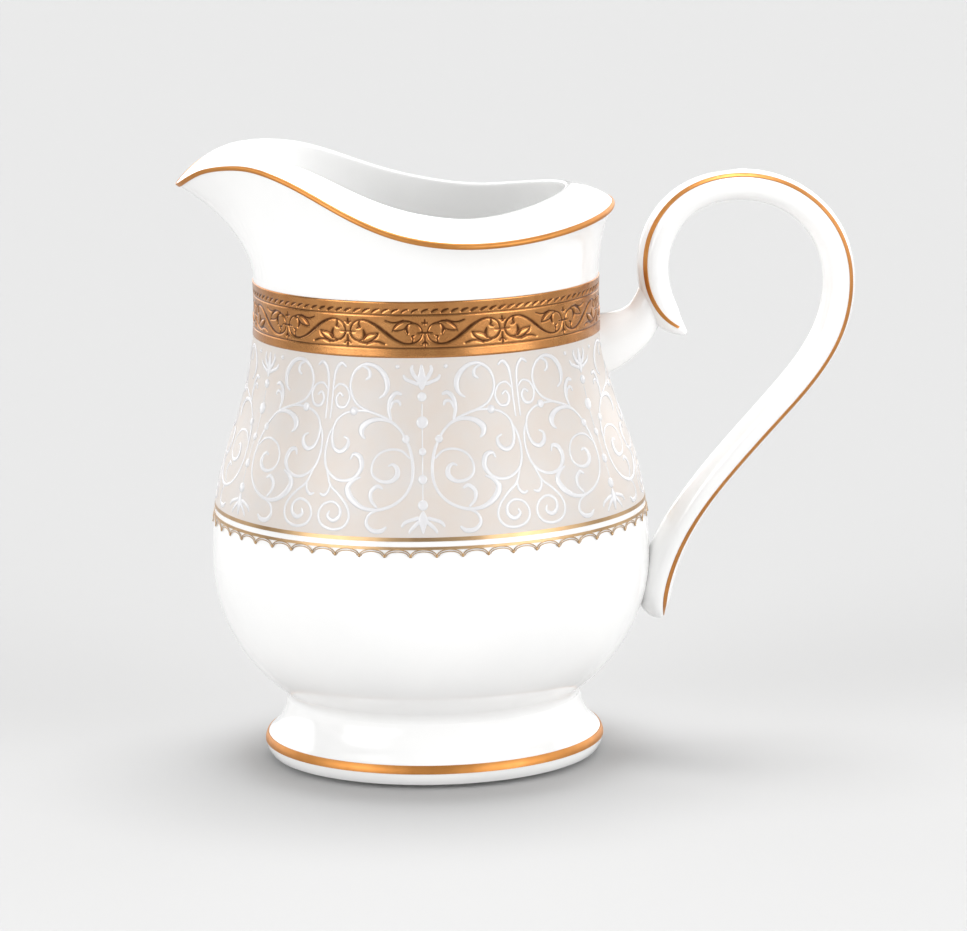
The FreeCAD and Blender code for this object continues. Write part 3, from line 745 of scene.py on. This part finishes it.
def etched_gold():
    """Burnished gold with painted shade in its cuts: they are given a near-black brown tone."""
    shader = Shader("etched_gold", Metallic=1.0)
    face = shader.ramp(
        shader.noise(260, 5, 0.6), (0.3, (0.42, 0.18, 0.06)), (0.7, (0.52, 0.25, 0.09))
    )
    # painted shade: a near-black brown that stands in for the shade in the cuts
    painted_cut_shade = shader.ramp(
        shader.noise(900), (0.3, (0.06, 0.018, 0.006)), (0.7, (0.14, 0.055, 0.022))
    )
    # the cut share that the band mesh carries says where the painted shade goes
    cut_shade_mask = shader.span(shader.attribute("cut_shade_mask"), -0.25, 1.15)
    shader.feed("Base Color", shader.mix(cut_shade_mask, face, painted_cut_shade))
    shader.feed("Roughness", shader.span(shader.noise(420, 4), 0.2, 0.32))
    shader.bump(shader.noise(3200, 3), 0.00003, 0.35)
    return shader.material


def paint(material, *nodes):
    """Gives CAD nodes a better material."""
    for node in nodes:
        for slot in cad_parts[node].material_slots:
            slot.material = material


# --------------------------------------------------------------------- camera, floor and light

CAMERA_PLACE = (0.01016, -0.92423, 0.22864)
CAMERA_PITCH = 10.66  # degrees down
CAMERA_ROLL = 1.0
CAMERA_LENS = 186.1
SENSOR_WIDTH = 36

FLOOR_HALF_SIDE = 5.0
FLOOR_LINES = 24
# Table top tones. The near tone is painted light: a lighter colour towards the camera in place of
# light falling there.
FLOOR_FAR = (0.457, 0.457, 0.457)
FLOOR_PAINTED_LIGHT_TONE = (0.505, 0.505, 0.505)
PAINTED_LIGHT_START_Y = 0.06  # behind this the table top has its far tone; in front of it painted light makes it lighter
PAINTED_LIGHT_FULL_Y = -0.115

ROOM_STRENGTH = 0.32
# Name, azimuth, elevation, strength and spread. Azimuth 0 is from the front, 90 from the handle.
LIGHTS = [
    ("front_light", -5, 20, 0.3, 110),
    ("left_light", -58, 28, 0.6, 36),
    ("right_light", 70, 25, 0.9, 60),
    ("low_left_light", -50, 5, 1.5, 44),
    ("low_right_light", 50, 5, 1.5, 44),
    ("left_rim_light", -142, 10, 1.8, 70),
    ("right_rim_light", 142, 10, 2.0, 70),
    ("top_light", 180, 80, 2.6, 34),
]


def add_camera():
    """A long lens, looking slightly down at the jug's -Y side."""
    data = bpy.data.cameras.new("camera")
    data.lens = CAMERA_LENS
    data.sensor_width = SENSOR_WIDTH
    camera = bpy.data.objects.new("camera", data)
    tilt = Matrix.Rotation(math.radians(90 - CAMERA_PITCH), 4, "X")
    roll = Matrix.Rotation(math.radians(-CAMERA_ROLL), 4, "Z")
    camera.matrix_world = Matrix.Translation(CAMERA_PLACE) @ tilt @ roll
    bpy.context.scene.collection.objects.link(camera)
    bpy.context.scene.camera = camera


def add_soft_light(name, azimuth, elevation, strength, spread):
    """A broad even light from far off; the angles are in degrees."""
    data = bpy.data.lights.new(name, "SUN")
    data.energy = strength
    data.angle = math.radians(spread)
    light = bpy.data.objects.new(name, data)
    tilt = Matrix.Rotation(math.radians(90 - elevation), 4, "X")
    light.matrix_world = Matrix.Rotation(math.radians(azimuth), 4, "Z") @ tilt
    bpy.context.scene.collection.objects.link(light)


def add_floor():
    """A wide pale table top with painted light: its colour is a little lighter towards the
    camera.
    """
    line = np.linspace(-FLOOR_HALF_SIDE, FLOOR_HALF_SIDE, FLOOR_LINES)
    points = [(x, y, 0.0) for y in line for x in line]
    faces = []
    for i in range(FLOOR_LINES - 1):
        for j in range(FLOOR_LINES - 1):
            corner = i * FLOOR_LINES + j
            above = corner + FLOOR_LINES
            faces.append((corner, corner + 1, above + 1, above))
    mesh = bpy.data.meshes.new("floor")
    mesh.from_pydata(points, [], faces)
    shader = Shader("pale_floor", Roughness=0.9, Specular_IOR_Level=0.0)
    # painted light: the colour grows lighter towards the camera
    painted_light_share = shader.along_y(PAINTED_LIGHT_START_Y, PAINTED_LIGHT_FULL_Y)
    shader.feed("Base Color", shader.ramp(painted_light_share, (0, FLOOR_FAR), (1, FLOOR_PAINTED_LIGHT_TONE)))
    mesh.materials.append(shader.material)
    floor = bpy.data.objects.new("floor", mesh)
    bpy.context.scene.collection.objects.link(floor)


def light_room():
    """An even pale room with broad soft lights all round the jug and above it."""
    world = bpy.data.worlds.new("room")
    world.use_nodes = True
    background = world.node_tree.nodes["Background"]
    background.inputs["Color"].default_value = (1, 1, 1, 1)
    background.inputs["Strength"].default_value = ROOM_STRENGTH
    bpy.context.scene.world = world
    for light in LIGHTS:
        add_soft_light(*light)


def main():
    """Sets the room up, paints the CAD nodes and adds the decoration."""
    bpy.context.scene.view_settings.view_transform = "Standard"
    add_camera()
    add_floor()
    light_room()
    paint(porcelain(), "jug_body", "foot", "handle")
    bright = gold("bright_gold", (0.5, 0.21, 0.055), (0.58, 0.26, 0.075), 0.4, 0.52, 0.15)
    taupe = gold("taupe_gold", (0.42, 0.27, 0.14), (0.52, 0.35, 0.19), 0.28, 0.4, 0.2)
    paint(bright, "rim_gold_line", "foot_gold_line")
    paint(bright, "handle_gold_line_left", "handle_gold_line_right")
    paint(taupe, "upper_gold_line", "lower_gold_line")
    paint(ivory_enamel(), "ivory_ground")
    scrollwork(Skin("ivory_ground"), white_enamel())
    lace(Skin("scallop_border", "lower_gold_line"), taupe)
    gold_band(etched_gold())


main()
